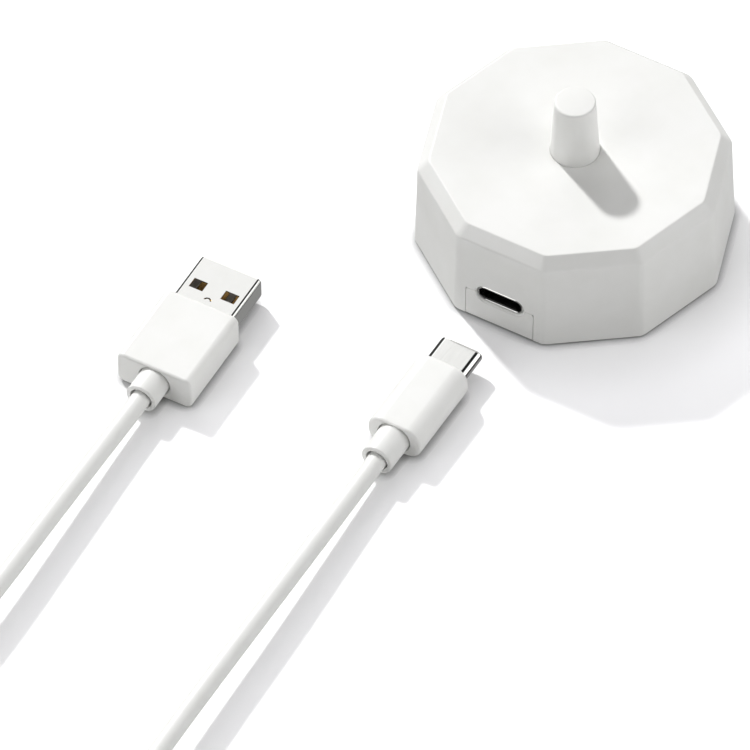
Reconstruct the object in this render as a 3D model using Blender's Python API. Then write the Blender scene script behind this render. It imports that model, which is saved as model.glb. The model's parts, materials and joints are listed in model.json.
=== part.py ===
"""Decagonal USB charging base for an electric toothbrush, with its USB-A to USB-C cable beside it."""
import math

import bmesh
import bpy
from mathutils import Matrix, Vector

for old in list(bpy.data.objects):
    bpy.data.objects.remove(old)

MM = 0.001

# Driving dimensions in millimetres. Z is up and the table is z = 0.
SIDES = 10
BASE_R = 28.4        # across-corner radius of the body at its lower rim
WALL_TOP_R = 27.75   # the same where the wall meets the chamfer
DECK_R = 25.7        # the same where the chamfer meets the deck
RIM_Z = 0.35
WALL_TOP_Z = 18.75
DECK_Z = 20.9
DISH = 0.35          # how far the deck falls towards the post
EDGE_R = 2.4         # rounding of the vertical edges
WALL = 1.8
DECK_HOLE_R = 4.75
POST_R = 4.35
POST_TOP_R = 3.65
POST_TOP_Z = 32.9
SOCKET_Z = 6.9       # centre of the USB-C socket
TAB_W = 13.7
TAB_TOP_Z = 6.9
BOARD_TOP = 5.0

PLUG_A_X, PLUG_A_Y, PLUG_A_Z, PLUG_A_TURN = -44.90, -52.40, 3.5, 0.96
PLUG_C_X, PLUG_C_Y, PLUG_C_Z, PLUG_C_TURN = -1.85, -42.80, 3.4, -0.5
CABLE_R = 1.75
COIL_X, COIL_Y = -23.3, -191.0
COIL_OUT_R, COIL_IN_R = 22.6, 19.0
COIL_H = 10.5
TIE_W, TIE_H = 7.0, 12.3

parts = bpy.data.collections.new("toothbrush_charging_base")
helpers = bpy.data.collections.new("helpers")
bpy.context.scene.collection.children.link(parts)
bpy.context.scene.collection.children.link(helpers)


def material(name, colour, rough, metal=0.0):
    made = bpy.data.materials.new(name)
    made.use_nodes = True
    shader = made.node_tree.nodes["Principled BSDF"]
    shader.inputs["Base Color"].default_value = (*colour, 1.0)
    shader.inputs["Roughness"].default_value = rough
    shader.inputs["Metallic"].default_value = metal
    return made


abs_white = material("abs_white", (0.86, 0.86, 0.85), 0.4)
tpe_white = material("tpe_white", (0.84, 0.84, 0.83), 0.35)
steel = material("nickel_steel", (0.62, 0.62, 0.60), 0.25, 1.0)
copper = material("copper", (0.72, 0.33, 0.16), 0.35, 1.0)
gold = material("gold_contact", (0.83, 0.58, 0.25), 0.25, 1.0)
ferrite = material("ferrite", (0.04, 0.04, 0.045), 0.7)
board_green = material("board", (0.02, 0.16, 0.07), 0.5)
black_plastic = material("black_plastic", (0.02, 0.02, 0.02), 0.4)
rubber = material("rubber", (0.55, 0.55, 0.54), 0.8)
silicone = material("silicone", (0.5, 0.5, 0.5), 0.6)
nylon = material("nylon", (0.75, 0.72, 0.62), 0.5)


def store(name, mesh, look=None, hidden=False, place=None):
    """Makes one object from a bmesh in millimetres, with its normals facing out."""
    bmesh.ops.recalc_face_normals(mesh, faces=mesh.faces)
    mesh.transform(Matrix.Scale(MM, 4))
    if place is not None:
        mesh.transform(place)
    data = bpy.data.meshes.new(name)
    mesh.to_mesh(data)
    mesh.free()
    obj = bpy.data.objects.new(name, data)
    (helpers if hidden else parts).objects.link(obj)
    if hidden:
        obj.hide_render = True
        obj.display_type = "WIRE"
    if look is not None:
        data.materials.append(look)
    return obj


def skin(name, rings, look=None, closed=False, hidden=False, place=None):
    """Joins rings of points, all with one count. closed joins the last ring to the first."""
    mesh = bmesh.new()
    rows = [[mesh.verts.new(p) for p in ring] for ring in rings]
    count = len(rows[0])
    pairs = list(zip(rows, rows[1:]))
    if closed:
        pairs.append((rows[-1], rows[0]))
    for low, high in pairs:
        for i in range(count):
            j = (i + 1) % count
            mesh.faces.new((low[i], low[j], high[j], high[i]))
    if not closed:
        mesh.faces.new(rows[0])
        mesh.faces.new(rows[-1])
    return store(name, mesh, look, hidden, place)


def turned(name, profile, look=None, steps=32, hidden=False, place=None, along="Z", centre=(0, 0, 0)):
    """Turns a profile of (radius, height) round an axis. A profile whose ends lie on the axis is
    closed by them, and any other is joined end to end as a ring."""
    mesh = bmesh.new()
    on_axis = profile[0][0] == 0.0 and profile[-1][0] == 0.0
    rows = []
    for r, h in profile:
        if r == 0.0:
            rows.append([mesh.verts.new((0.0, 0.0, h))])
            continue
        ring = []
        for i in range(steps):
            a = 2 * math.pi * i / steps
            ring.append(mesh.verts.new((r * math.cos(a), r * math.sin(a), h)))
        rows.append(ring)
    pairs = list(zip(rows, rows[1:]))
    if not on_axis:
        pairs.append((rows[-1], rows[0]))
    for low, high in pairs:
        for i in range(steps):
            j = (i + 1) % steps
            if len(low) == 1:
                mesh.faces.new((low[0], high[i], high[j]))
            elif len(high) == 1:
                mesh.faces.new((low[i], low[j], high[0]))
            else:
                mesh.faces.new((low[i], low[j], high[j], high[i]))
    if along == "Y":
        mesh.transform(Matrix.Rotation(-math.pi / 2, 4, "X"))
    mesh.transform(Matrix.Translation(Vector(centre)))
    return store(name, mesh, look, hidden, place)


def disc(name, r, z0, z1, look=None, steps=32, hidden=False, at=(0.0, 0.0)):
    profile = [(0.0, z0), (r, z0), (r, z1), (0.0, z1)]
    return turned(name, profile, look, steps, hidden, None, "Z", (at[0], at[1], 0.0))


def block(name, low, high, look=None, hidden=False, place=None, bevel=0.0):
    """A box from corner to corner. bevel rounds its upright edges."""
    outline = rounded(high[0] - low[0], high[1] - low[1], bevel, 3)
    cx, cy = (low[0] + high[0]) / 2, (low[1] + high[1]) / 2
    rings = [[(x + cx, y + cy, z) for x, y in outline] for z in (low[2], high[2])]
    return skin(name, rings, look, False, hidden, place)


def rounded(w, h, r, steps):
    """Outline of a rounded rectangle about the origin, counterclockwise."""
    if r <= 0:
        return [(-w / 2, -h / 2), (w / 2, -h / 2), (w / 2, h / 2), (-w / 2, h / 2)]
    r = min(r, w / 2 - 0.001, h / 2 - 0.001)
    points = []
    corners = ((1, -1, -90), (1, 1, 0), (-1, 1, 90), (-1, -1, 180))
    for sx, sy, start in corners:
        for i in range(steps + 1):
            a = math.radians(start + 90 * i / steps)
            x = sx * (w / 2 - r) + r * math.cos(a)
            y = sy * (h / 2 - r) + r * math.sin(a)
            points.append((x, y))
    return points


def along_y(sections, z):
    """Rings for skin() from (y, outline) pairs, each outline in X and Z about the height z."""
    return [[(x, y, h + z) for x, h in outline] for y, outline in sections]


def decagon(r, fillet, arc=4):
    """Outline of the body at one height: SIDES flats with rounded corners, a flat facing -Y."""
    half = math.pi / SIDES
    inset = fillet / math.cos(half)
    points = []
    for k in range(SIDES):
        corner = math.radians(-90 + 180 / SIDES) + 2 * math.pi * k / SIDES
        cx, cy = (r - inset) * math.cos(corner), (r - inset) * math.sin(corner)
        for i in range(arc + 1):
            a = corner - half + 2 * half * i / arc
            points.append((cx + fillet * math.cos(a), cy + fillet * math.sin(a)))
    return points


def round_like(r, outline):
    """A circle with a point on each of the outline's rays, so that the two can be joined."""
    return [(r * math.cos(math.atan2(y, x)), r * math.sin(math.atan2(y, x))) for x, y in outline]


def lifted(outline, z):
    return [(x, y, z) for x, y in outline]


def cut(obj, tool, operation="DIFFERENCE"):
    step = obj.modifiers.new(tool.name, "BOOLEAN")
    step.object = tool
    step.operation = operation
    step.solver = "EXACT"


def apothem(z):
    share = (z - RIM_Z) / (WALL_TOP_Z - RIM_Z)
    r = BASE_R + (WALL_TOP_R - BASE_R) * share
    return r * math.cos(math.pi / SIDES)


# Body shell: outer face up from the rim, over the deck, down the post hole and back inside.
plain = decagon(DECK_R, EDGE_R)
inner_gap = WALL / math.cos(math.pi / SIDES)
under_deck = DECK_Z - WALL
shell_rings = [
    lifted(decagon(BASE_R, EDGE_R), RIM_Z),
    lifted(decagon(WALL_TOP_R, EDGE_R), WALL_TOP_Z - 0.1),
    lifted(decagon(WALL_TOP_R - 0.1, EDGE_R), WALL_TOP_Z + 0.12),
    lifted(decagon(DECK_R + 0.12, EDGE_R), DECK_Z - 0.1),
    lifted(decagon(DECK_R - 0.15, EDGE_R), DECK_Z),
    lifted(round_like(15.0, plain), DECK_Z - 0.22),
    lifted(round_like(DECK_HOLE_R + 0.15, plain), DECK_Z - DISH),
    lifted(round_like(DECK_HOLE_R, plain), DECK_Z - DISH - 0.15),
    lifted(round_like(DECK_HOLE_R, plain), under_deck - DISH),
    lifted(decagon(DECK_R - 1.2, 1.2), under_deck - 0.1),
    lifted(decagon(WALL_TOP_R - inner_gap, 1.2), WALL_TOP_Z - 0.9),
    lifted(decagon(BASE_R - inner_gap, 1.2), RIM_Z),
]
housing = skin("top_housing", shell_rings, abs_white, closed=True)

SCREWS = [(21.0 * math.cos(math.radians(a)), 21.0 * math.sin(math.radians(a))) for a in (90, 210, 330)]
FEET = [(18.0 * math.cos(math.radians(a)), 18.0 * math.sin(math.radians(a))) for a in (30, 150, 270)]

for n, at in enumerate(SCREWS, 1):
    cut(housing, disc(f"boss_{n}", 2.8, 3.5, under_deck + 0.6, steps=20, hidden=True, at=at), "UNION")
for n, at in enumerate(SCREWS, 1):
    cut(housing, disc(f"boss_hole_{n}", 1.3, 2.0, 12.0, steps=16, hidden=True, at=at))
front = apothem(SOCKET_Z)
cut(housing, block("tab_notch", (-TAB_W / 2, -30, -1), (TAB_W / 2, -22, TAB_TOP_Z), hidden=True))
mouth = rounded(9.4, 3.66, 1.82, 6)
cut(housing, skin("socket_mouth", along_y([(-30, mouth), (-22, mouth)], SOCKET_Z), hidden=True))

# Bottom cover: plate, screw wells, board posts and the tab that closes the lower half of the mouth.
cover_r = BASE_R - inner_gap - 0.32
plate = decagon(cover_r, 1.2)
cover = skin("bottom_cover", [lifted(plate, 0.45), lifted(plate, 2.1)], abs_white)
tab_rings = []
for z in (RIM_Z, 3.5, TAB_TOP_Z - 0.75, TAB_TOP_Z - 0.18):
    inset = 0.45 if z > TAB_TOP_Z - 0.5 else 0.0
    half_w = TAB_W / 2 - 0.17 - inset
    outer = -apothem(z)
    back = outer + WALL
    tab_rings.append([(-half_w, outer, z), (half_w, outer, z), (half_w, back, z), (-half_w, back, z)])
cut(cover, skin("tab", tab_rings, hidden=True), "UNION")
cut(cover, block("tab_root", (-6.2, -front + 0.5, 0.6), (6.2, -front + 3.2, 2.0), hidden=True), "UNION")
for n, at in enumerate(SCREWS, 1):
    cut(cover, disc(f"well_{n}", 2.9, 1.0, 3.2, steps=20, hidden=True, at=at), "UNION")
for n, at in enumerate(((-10.0, -12.0), (10.0, -12.0), (-12.0, 12.0), (12.0, 12.0)), 1):
    cut(cover, disc(f"board_post_{n}", 1.6, 1.0, 3.7, steps=16, hidden=True, at=at), "UNION")
for n, at in enumerate(SCREWS, 1):
    cut(cover, disc(f"head_recess_{n}", 2.35, 0.0, 2.1, steps=20, hidden=True, at=at))
    cut(cover, disc(f"screw_way_{n}", 1.3, 0.0, 5.0, steps=16, hidden=True, at=at))
for n, at in enumerate(FEET, 1):
    cut(cover, disc(f"foot_recess_{n}", 5.3, 0.0, 1.3, steps=32, hidden=True, at=at))
cut(cover, skin("tab_mouth", along_y([(-30, mouth), (-22, mouth)], SOCKET_Z), hidden=True))

for n, (x, y) in enumerate(SCREWS, 1):
    profile = [
        (0.0, 1.1), (0.5, 1.1), (0.7, 0.75), (1.7, 0.75), (2.0, 1.0), (2.0, 1.85), (0.95, 1.85),
        (0.95, 10.2), (0.6, 11.0), (0.0, 11.0),
    ]
    turned(f"housing_screw_{n}", profile, steel, 16, centre=(x, y, 0.0))
for n, (x, y) in enumerate(FEET, 1):
    profile = [(0.0, 0.0), (4.7, 0.0), (5.0, 0.25), (5.0, 1.05), (0.0, 1.05)]
    turned(f"rubber_foot_{n}", profile, rubber, 32, centre=(x, y, 0.0))

# Charging post: a hollow cap whose flange seals under the deck.
post_profile = [
    (0.0, POST_TOP_Z), (POST_TOP_R - 0.45, POST_TOP_Z), (POST_TOP_R - 0.14, POST_TOP_Z - 0.13),
    (POST_TOP_R, POST_TOP_Z - 0.45), (POST_R, 20.4), (POST_R, 17.6), (7.2, 17.6), (7.2, 16.4),
    (3.3, 16.4), (2.55, 31.9), (0.0, 31.9),
]
turned("charging_post", post_profile, abs_white, 40)
turned("post_gasket", [(5.2, 17.85), (6.7, 17.85), (6.7, 18.3), (5.2, 18.3)], silicone, 32)
rod = [(0.0, 5.5), (1.9, 5.5), (2.2, 5.8), (2.2, 31.2), (1.9, 31.5), (0.0, 31.5)]
turned("ferrite_core", rod, ferrite, 24)
former = [
    (2.5, 5.3), (8.0, 5.3), (8.0, 6.1), (3.2, 6.1), (3.2, 15.1), (8.0, 15.1), (8.0, 15.9), (2.5, 15.9),
]
turned("coil_former", former, nylon, 32)
turned("primary_coil", [(3.5, 6.4), (7.3, 6.4), (7.3, 14.8), (3.5, 14.8)], copper, 32)

# Circuit board: a disc with a nose under the socket and a bay for each screw boss.
start = math.asin(7.0 / 20.0)
edge = []
for i in range(49):
    a = -math.pi / 2 + start + (2 * math.pi - 2 * start) * i / 48
    edge.append((20.0 * math.cos(a), 20.0 * math.sin(a)))
edge += [(-7.0, -24.4), (7.0, -24.4)]
board = skin("circuit_board", [lifted(edge, BOARD_TOP - 1.0), lifted(edge, BOARD_TOP)], board_green)
for n, at in enumerate(SCREWS, 1):
    cut(board, disc(f"board_bay_{n}", 3.3, 3.0, 6.0, steps=20, hidden=True, at=at))

ON_BOARD = BOARD_TOP + 0.3
block("driver_chip", (9.6, 4.6, ON_BOARD), (14.6, 8.6, ON_BOARD + 1.2), black_plastic)
block("power_transistor", (-2.0, 11.0, ON_BOARD), (2.5, 15.0, ON_BOARD + 1.4), black_plastic)
can = [(0.0, ON_BOARD), (3.0, ON_BOARD), (3.15, 5.6), (3.15, 13.0), (2.8, 13.3), (0.0, 13.3)]
turned("electrolytic_capacitor", can, black_plastic, 24, centre=(-12.6, 5.4, 0.0))
block("resonance_capacitor", (-15.0, -7.4, ON_BOARD), (-9.0, -0.6, ON_BOARD + 6.0), nylon, bevel=0.6)
choke = [
    (0.0, ON_BOARD), (3.4, ON_BOARD), (3.4, 6.2), (2.7, 6.5), (2.7, 8.0), (3.4, 8.3), (3.4, 9.0), (0.0, 9.0),
]
turned("power_inductor", choke, ferrite, 24, centre=(12.6, -4.2, 0.0))


def wire(name, points, r, look, sides=2):
    """A round wire through the points, as a closed mesh."""
    curve = bpy.data.curves.new(name, "CURVE")
    curve.dimensions = "3D"
    line = curve.splines.new("POLY")
    line.points.add(len(points) - 1)
    for spot, p in zip(line.points, points):
        spot.co = (p[0] * MM, p[1] * MM, p[2] * MM, 1.0)
    curve.bevel_depth = r * MM
    curve.bevel_resolution = sides
    curve.use_fill_caps = True
    guide = bpy.data.objects.new(name + "_guide", curve)
    helpers.objects.link(guide)
    data = bpy.data.meshes.new_from_object(guide)
    bpy.data.objects.remove(guide)
    mesh = bmesh.new()
    mesh.from_mesh(data)
    bmesh.ops.remove_doubles(mesh, verts=mesh.verts, dist=1e-6)
    bmesh.ops.recalc_face_normals(mesh, faces=mesh.faces)
    clean = bpy.data.meshes.new(name)
    mesh.to_mesh(clean)
    mesh.free()
    obj = bpy.data.objects.new(name, clean)
    parts.objects.link(obj)
    clean.materials.append(look)
    return obj


lead = [
    (7.95, 1.2, 13.6), (8.6, 1.3, 13.2), (8.75, 1.4, 12.2), (8.75, 1.5, 8.0), (9.0, 1.6, 6.4), (9.4, 1.7, 5.4),
]
wire("coil_lead_1", lead, 0.25, copper, 1)
wire("coil_lead_2", [(x, y - 4.0, z) for x, y, z in lead], 0.25, copper, 1)

# USB-C socket: a stamped shell with a closed back, and the contact tongue inside it.
outer = rounded(8.94, 3.2, 1.59, 6)
inner = rounded(8.50, 2.76, 1.37, 6)
socket_rings = along_y([(-19.2, outer), (-26.55, outer), (-26.55, inner), (-19.45, inner)], SOCKET_Z)
skin("usb_c_socket_shell", socket_rings, steel)
heel, tongue = rounded(7.9, 2.2, 1.0, 4), rounded(6.69, 0.7, 0.2, 4)
tongue_rings = along_y([(-19.75, heel), (-20.9, heel), (-20.95, tongue), (-25.35, tongue)], SOCKET_Z)
skin("usb_c_socket_tongue", tongue_rings, black_plastic)


def place_a():
    turn = Matrix.Rotation(math.radians(PLUG_A_TURN), 4, "Z")
    return Matrix.Translation(Vector((PLUG_A_X, PLUG_A_Y, PLUG_A_Z)) * MM) @ turn


def place_c():
    turn = Matrix.Rotation(math.radians(PLUG_C_TURN), 4, "Z")
    return Matrix.Translation(Vector((PLUG_C_X, PLUG_C_Y, PLUG_C_Z)) * MM) @ turn


# USB-A plug, built about its own axis with the tip towards +Y.
A = place_a()
out_a, in_a = rounded(12.0, 4.5, 0.5, 3), rounded(11.4, 3.9, 0.25, 3)
lip_a = rounded(11.8, 4.3, 0.45, 3)
shell_a_rings = along_y([(-7.4, out_a), (10.15, out_a), (10.25, lip_a), (10.25, in_a), (-7.4, in_a)], 0)
shell_a = skin("usb_a_shell", shell_a_rings, steel, closed=True, place=A)
for n, (x0, x1) in enumerate(((-4.35, -1.85), (1.85, 4.35)), 1):
    cut(shell_a, block(f"window_{n}", (x0, 3.1, -4), (x1, 5.1, 4), hidden=True, place=A))
moon = []
for r, way in ((0.75, 1), (0.45, -1)):
    for i in range(7):
        a = math.radians(15 + 150 * (i if way > 0 else 6 - i) / 6)
        moon.append((r * math.cos(a), 1.55 + r * math.sin(a)))
cut(shell_a, skin("latch_mark", [lifted(moon, 1.8), lifted(moon, 2.6)], hidden=True, place=A))
tongue_a = block("usb_a_tongue", (-5.5, -7.2, -1.8), (5.5, 9.7, -0.15), black_plastic, place=A)
for n, (x, tip) in enumerate(((-3.5, 9.2), (-1.0, 8.2), (1.0, 8.2), (3.5, 9.2)), 1):
    groove = block(f"groove_{n}", (x - 0.65, -6.0, -0.6), (x + 0.65, tip + 0.15, 0.5), hidden=True, place=A)
    cut(tongue_a, groove)
    block(f"usb_a_contact_{n}", (x - 0.5, -5.8, -0.5), (x + 0.5, tip, -0.2), gold, place=A)


def moulded(name, w, h, r, length, end, look, place):
    """A moulded grip from y = -length to y = 0, with its end edges rounded by end."""
    sections = []
    for i in range(4):
        a = math.radians(90 * i / 3)
        inset = end * (1 - math.sin(a))
        outline = rounded(w - 2 * inset, h - 2 * inset, r - inset, 5)
        sections.append((-length + end * (1 - math.cos(a)), outline))
    sections += [(-length - y, outline) for y, outline in reversed(sections)]
    return skin(name, along_y(sections, 0), look, place=place)


grip_a = moulded("usb_a_overmould", 14.8, 7.0, 0.95, 17.2, 0.55, abs_white, A)
pocket_a = rounded(12.3, 4.8, 0.6, 3)
cut(grip_a, skin("pocket_a", along_y([(-7.7, pocket_a), (2.0, pocket_a)], 0), hidden=True, place=A))
throat = [(0.0, -30.0), (3.1, -30.0), (3.1, -14.0), (0.0, -14.0)]
cut(grip_a, turned("throat_a", throat, steps=28, hidden=True, place=A, along="Y"))
collar_a = [
    (0.0, -14.3), (2.9, -14.3), (2.9, -21.6), (2.75, -21.8), (2.15, -21.8), (2.15, -17.4), (0.0, -17.4),
]
turned("usb_a_strain_relief", collar_a, tpe_white, 28, place=A, along="Y")

# USB-C plug, built the same way.
C = place_c()
out_c, in_c = rounded(8.25, 2.4, 1.19, 6), rounded(7.75, 1.9, 0.94, 6)
lip_c = rounded(8.05, 2.2, 1.09, 6)
shell_c_rings = along_y([(-6.4, out_c), (5.75, out_c), (5.9, lip_c), (5.9, in_c), (-6.1, in_c)], 0)
skin("usb_c_plug_shell", shell_c_rings, steel, place=C)
core = rounded(7.3, 1.46, 0.72, 6)
core_c = skin("usb_c_plug_core", along_y([(-5.7, core), (5.2, core)], 0), black_plastic, place=C)
slot_c = rounded(6.75, 0.8, 0.2, 3)
cut(core_c, skin("slot_c", along_y([(0.6, slot_c), (7.0, slot_c)], 0), hidden=True, place=C))
grip_c = moulded("usb_c_overmould", 10.5, 6.8, 2.9, 17.5, 0.55, abs_white, C)
pocket_c = rounded(8.55, 2.7, 1.3, 5)
cut(grip_c, skin("pocket_c", along_y([(-6.7, pocket_c), (2.0, pocket_c)], 0), hidden=True, place=C))
throat = [(0.0, -30.0), (3.2, -30.0), (3.2, -14.3), (0.0, -14.3)]
cut(grip_c, turned("throat_c", throat, steps=28, hidden=True, place=C, along="Y"))
collar_c = [
    (0.0, -14.6), (3.0, -14.6), (3.0, -23.2), (2.85, -23.4), (2.15, -23.4), (2.15, -18.6), (0.0, -18.6),
]
turned("usb_c_strain_relief", collar_c, tpe_white, 28, place=C, along="Y")


# Cable: two runs and a coil. Route points are hand-chosen and read as one smooth curve.
def smooth(points, step):
    """A Catmull-Rom curve through the points, read about every step."""
    ends = [points[0]] + points + [points[-1]]
    read = []
    for i in range(1, len(ends) - 2):
        p0, p1, p2, p3 = (Vector(ends[k]) for k in (i - 1, i, i + 1, i + 2))
        count = max(1, round((p2 - p1).length / step))
        for j in range(count):
            t = j / count
            read.append(
                0.5 * (2 * p1 + (p2 - p0) * t + (2 * p0 - 5 * p1 + 4 * p2 - p3) * t * t
                       + (3 * p1 - p0 - 3 * p2 + p3) * t * t * t)
            )
    read.append(Vector(ends[-2]))
    return read


RUN_A = [
    (-44.61, -70.2, 3.5), (-44.50, -77.0, 3.52), (-44.40, -86.0, 3.75), (-44.28, -96.0, 4.1),
    (-44.10, -108.0, 4.45), (-43.85, -122.0, 4.75), (-44.05, -140.0, 5.0), (-45.1, -160.0, 5.2),
    (-45.8, -177.7, 5.25),
]
RUN_C = [
    (-1.99, -61.8, 3.4), (-1.93, -68.0, 3.42), (-1.83, -76.0, 3.62), (-1.73, -86.0, 3.95),
    (-1.64, -96.0, 4.3), (-1.56, -108.0, 4.6), (-1.50, -122.0, 4.85), (-1.20, -140.0, 5.3),
    (-0.15, -160.0, 6.6), (0.95, -175.0, 7.9), (1.25, -181.6, 8.4),
]
wire("cable_run_a", smooth(RUN_A, 8.0), CABLE_R, tpe_white, 2)
wire("cable_run_c", smooth(RUN_C, 8.0), CABLE_R, tpe_white, 2)
low_r, high_r = COIL_IN_R - CABLE_R, COIL_OUT_R + CABLE_R
ring = [
    (low_r, 1.0), (low_r + 1.0, 0.0), (high_r - 1.0, 0.0), (high_r, 1.0),
    (high_r, COIL_H - 1.0), (high_r - 1.0, COIL_H), (low_r + 1.0, COIL_H), (low_r, COIL_H - 1.0),
]
turned("cable_coil", ring, tpe_white, 40, centre=(COIL_X, COIL_Y, 0.0))

# Tie: a closed strap round the coil's section, on the side away from the plugs. The coil sits in it.
strap_low, strap_high = COIL_Y - high_r - 1.1, COIL_Y - low_r + 1.45
strap_mid, strap_w = (strap_low + strap_high) / 2, strap_high - strap_low
strap_rings = []
for x, thick in ((-TIE_W / 2, 0.0), (TIE_W / 2, 0.0), (TIE_W / 2, 0.8), (-TIE_W / 2, 0.8)):
    outline = rounded(strap_w - 2 * thick, TIE_H - 2 * thick, 1.2 - thick, 4)
    strap_rings.append([(COIL_X + x, strap_mid + y, TIE_H / 2 + z) for y, z in outline])
skin("cable_tie", strap_rings, tpe_white, closed=True)
seat_w = TIE_W / 2 + 0.3
seat = block("tie_seat", (COIL_X - seat_w, strap_low, -1.0), (COIL_X + seat_w, strap_high, 1.1), hidden=True)
cut(bpy.data.objects["cable_coil"], seat)
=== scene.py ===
import json
import math

import bmesh
import bpy
from mathutils import Matrix, Vector


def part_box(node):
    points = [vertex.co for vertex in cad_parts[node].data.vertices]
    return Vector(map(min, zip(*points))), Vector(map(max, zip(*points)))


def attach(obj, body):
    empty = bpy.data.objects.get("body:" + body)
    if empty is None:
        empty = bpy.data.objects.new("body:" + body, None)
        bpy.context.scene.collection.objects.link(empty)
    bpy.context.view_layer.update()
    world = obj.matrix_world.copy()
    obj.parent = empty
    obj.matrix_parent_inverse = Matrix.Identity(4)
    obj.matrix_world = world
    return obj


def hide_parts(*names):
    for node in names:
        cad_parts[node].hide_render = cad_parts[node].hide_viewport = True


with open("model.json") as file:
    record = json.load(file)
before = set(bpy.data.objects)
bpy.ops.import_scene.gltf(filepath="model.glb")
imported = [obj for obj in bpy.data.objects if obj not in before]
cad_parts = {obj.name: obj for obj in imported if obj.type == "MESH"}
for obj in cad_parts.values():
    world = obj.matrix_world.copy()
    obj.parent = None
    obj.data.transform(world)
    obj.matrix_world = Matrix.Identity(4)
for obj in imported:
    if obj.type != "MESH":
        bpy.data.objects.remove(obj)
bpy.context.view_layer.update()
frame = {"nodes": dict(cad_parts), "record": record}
nodes = frame["nodes"]
scene = bpy.context.scene
mm = 0.001
print("frame loaded:", len(nodes), "CAD nodes")


def directionAt(azimuth, elevation):
    a, e = math.radians(azimuth), math.radians(elevation)
    return Vector((math.cos(e) * math.cos(a), math.cos(e) * math.sin(a), math.sin(e)))


# camera
cameraSetup = {
    "lens": 576.0,           # mm on a 36 mm sensor, a long tele lens
    "azimuth": -59.296,      # degrees from +X towards +Y
    "elevation": 49.379,
    "roll": -1.009,
    "distance": 2.08583,     # m
    "lookAt": (-0.01344, -0.04699, 0.0),
}


def makeCamera(c):
    data = bpy.data.cameras.new("camera")
    data.lens = c["lens"]
    data.sensor_width = 36.0
    data.clip_start, data.clip_end = 0.05, 60.0
    cam = bpy.data.objects.new("camera", data)
    scene.collection.objects.link(cam)
    back = directionAt(c["azimuth"], c["elevation"])
    a, roll = math.radians(c["azimuth"]), math.radians(c["roll"])
    right = Vector((-math.sin(a), math.cos(a), 0.0))
    up = back.cross(right)
    turnedRight = math.cos(roll) * right + math.sin(roll) * up
    turnedUp = -math.sin(roll) * right + math.cos(roll) * up
    place = Vector(c["lookAt"]) + back * c["distance"]
    rows = [(*axis, where) for axis, where in zip(zip(turnedRight, turnedUp, back), place)]
    cam.matrix_world = Matrix([*rows, (0, 0, 0, 1)])
    scene.camera = cam


makeCamera(cameraSetup)
scene.view_settings.view_transform = "Standard"
print("camera set")


# small tools for meshes: all shapes are drawn in millimetres
def finishMesh(name, mesh, place=None, sharpAngle=35.0):
    bmesh.ops.recalc_face_normals(mesh, faces=mesh.faces)
    mesh.transform(Matrix.Scale(mm, 4))
    if place is not None:
        mesh.transform(place)
    data = bpy.data.meshes.new(name)
    mesh.to_mesh(data)
    mesh.free()
    data.shade_smooth()
    data.set_sharp_from_angle(angle=math.radians(sharpAngle))
    obj = bpy.data.objects.new(name, data)
    scene.collection.objects.link(obj)
    return obj


def loft(name, rings, closed=False, place=None, sharpAngle=35.0):
    mesh = bmesh.new()
    rows = [[mesh.verts.new(p) for p in ring] for ring in rings]
    pairs = list(zip(rows, rows[1:]))
    if closed:
        pairs.append((rows[-1], rows[0]))
    count = len(rows[0])
    for low, high in pairs:
        for i in range(count):
            j = (i + 1) % count
            mesh.faces.new((low[i], low[j], high[j], high[i]))
    if not closed:
        mesh.faces.new(rows[0])
        mesh.faces.new(rows[-1])
    return finishMesh(name, mesh, place, sharpAngle)


def turn(name, profile, steps=72, place=None, alongY=False, sharpAngle=35.0):
    mesh = bmesh.new()
    onAxis = profile[0][0] == 0.0 and profile[-1][0] == 0.0
    rows = []
    for r, h in profile:
        if r == 0.0:
            rows.append([mesh.verts.new((0.0, h, 0.0) if alongY else (0.0, 0.0, h))])
            continue
        ring = []
        for i in range(steps):
            a = 2 * math.pi * i / steps
            x, y = r * math.cos(a), r * math.sin(a)
            ring.append(mesh.verts.new((x, h, y) if alongY else (x, y, h)))
        rows.append(ring)
    pairs = list(zip(rows, rows[1:]))
    if not onAxis:
        pairs.append((rows[-1], rows[0]))
    for low, high in pairs:
        for i in range(steps):
            j = (i + 1) % steps
            if len(low) == 1:
                mesh.faces.new((low[0], high[i], high[j]))
            elif len(high) == 1:
                mesh.faces.new((low[i], low[j], high[0]))
            else:
                mesh.faces.new((low[i], low[j], high[j], high[i]))
    return finishMesh(name, mesh, place, sharpAngle)


def roundedOutline(w, h, r, steps=6):
    r = min(r, w / 2 - 0.001, h / 2 - 0.001)
    points = []
    for sx, sy, start in ((1, -1, -90), (1, 1, 0), (-1, 1, 90), (-1, -1, 180)):
        for i in range(steps + 1):
            a = math.radians(start + 90 * i / steps)
            points.append((sx * (w / 2 - r) + r * math.cos(a), sy * (h / 2 - r) + r * math.sin(a)))
    return points


def ringsAlongY(sections, z=0.0):  # sections are (y, outline), from one end to the other
    return [[(x, y, h + z) for x, h in outline] for y, outline in sections]


def roundProfile(points, steps=5):  # points are (radius, height, bend), where bend rounds the corner
    made = []
    for i, (r, z, bend) in enumerate(points):
        here = Vector((r, z))
        if bend <= 0 or i in (0, len(points) - 1):
            made.append((r, z))
            continue
        before, after = Vector(points[i - 1][:2]), Vector(points[i + 1][:2])
        a, b = (before - here).normalized(), (after - here).normalized()
        half = a.angle(b) / 2
        reach = bend / math.tan(half)
        start, end = here + a * reach, here + b * reach
        middle = here + (a + b).normalized() * (bend / math.sin(half))
        fromMid, toMid = start - middle, end - middle
        sweep = fromMid.angle(toMid)
        for k in range(steps + 1):
            t = k / steps
            s = (math.sin((1 - t) * sweep) * fromMid + math.sin(t * sweep) * toMid) / math.sin(sweep)
            made.append((middle.x + s.x, middle.y + s.y))
    return made


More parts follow.
